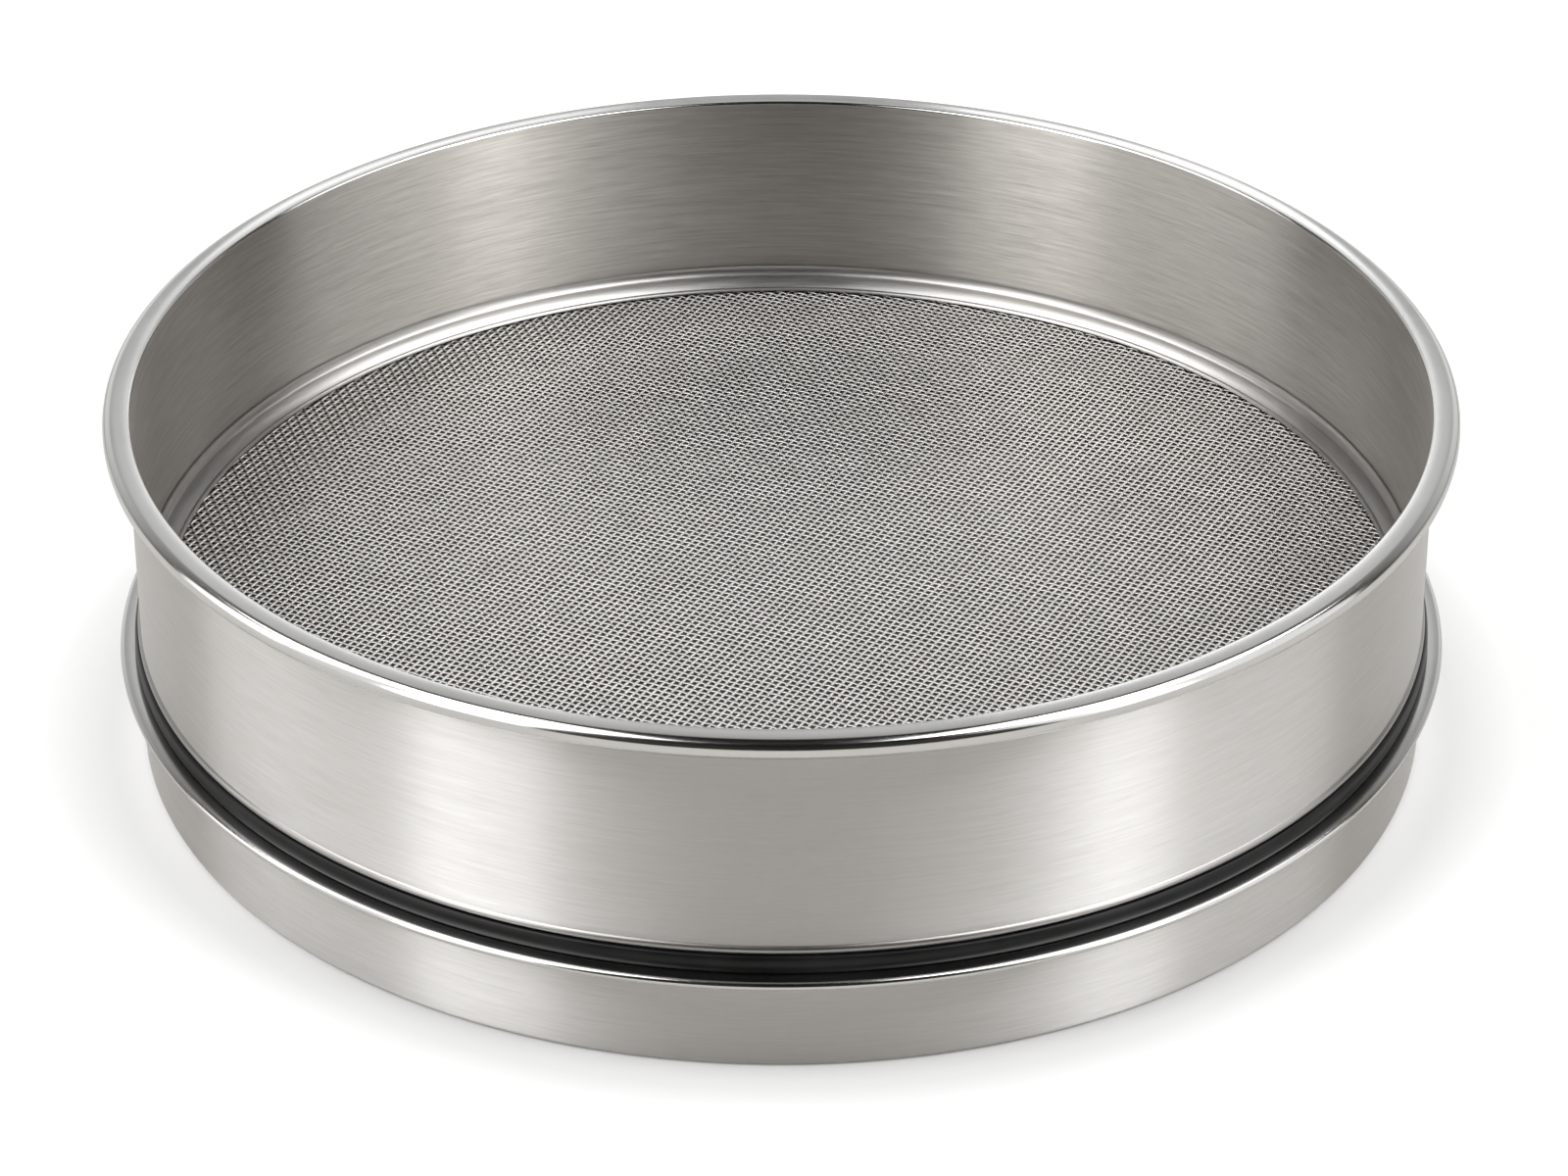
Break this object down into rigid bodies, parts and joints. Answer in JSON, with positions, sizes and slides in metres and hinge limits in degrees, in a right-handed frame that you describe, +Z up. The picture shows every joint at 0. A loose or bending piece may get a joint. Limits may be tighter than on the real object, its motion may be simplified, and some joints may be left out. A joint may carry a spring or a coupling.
{
  "type": "test sieve",
  "caption": "Round laboratory test sieve with woven wire cloth and a rolled rim, nested on a sealing ring in its shallow receiver pan.",
  "frame": {"origin": "centre of the receiver pan's flat underside, on the axis of all the rings", "axes": "+Z up along the common axis, from the pan's underside to the sieve's mouth; X and Y lie in the plane the pan stands on"},
  "size_m": [0.312, 0.312, 0.085],
  "materials": {
    "frame_steel": "wall brushed round the ring, rim curl and land polished",
    "ring_steel": "turned and polished",
    "cloth_steel": "bright drawn wire, plain weave",
    "skirt_steel": "brushed round the ring",
    "seal_rubber": "satin black moulded rubber",
    "pan_steel": "wall and bottom brushed round the pan, flange polished"
  },
  "bodies": {
    "root": {"sieve_frame": "frame_steel", "retaining_ring": "ring_steel", "wire_cloth": "cloth_steel", "skirt_ring": "skirt_steel", "sealing_ring": "seal_rubber", "receiver_pan": "pan_steel"}
  },
  "joints": []
}
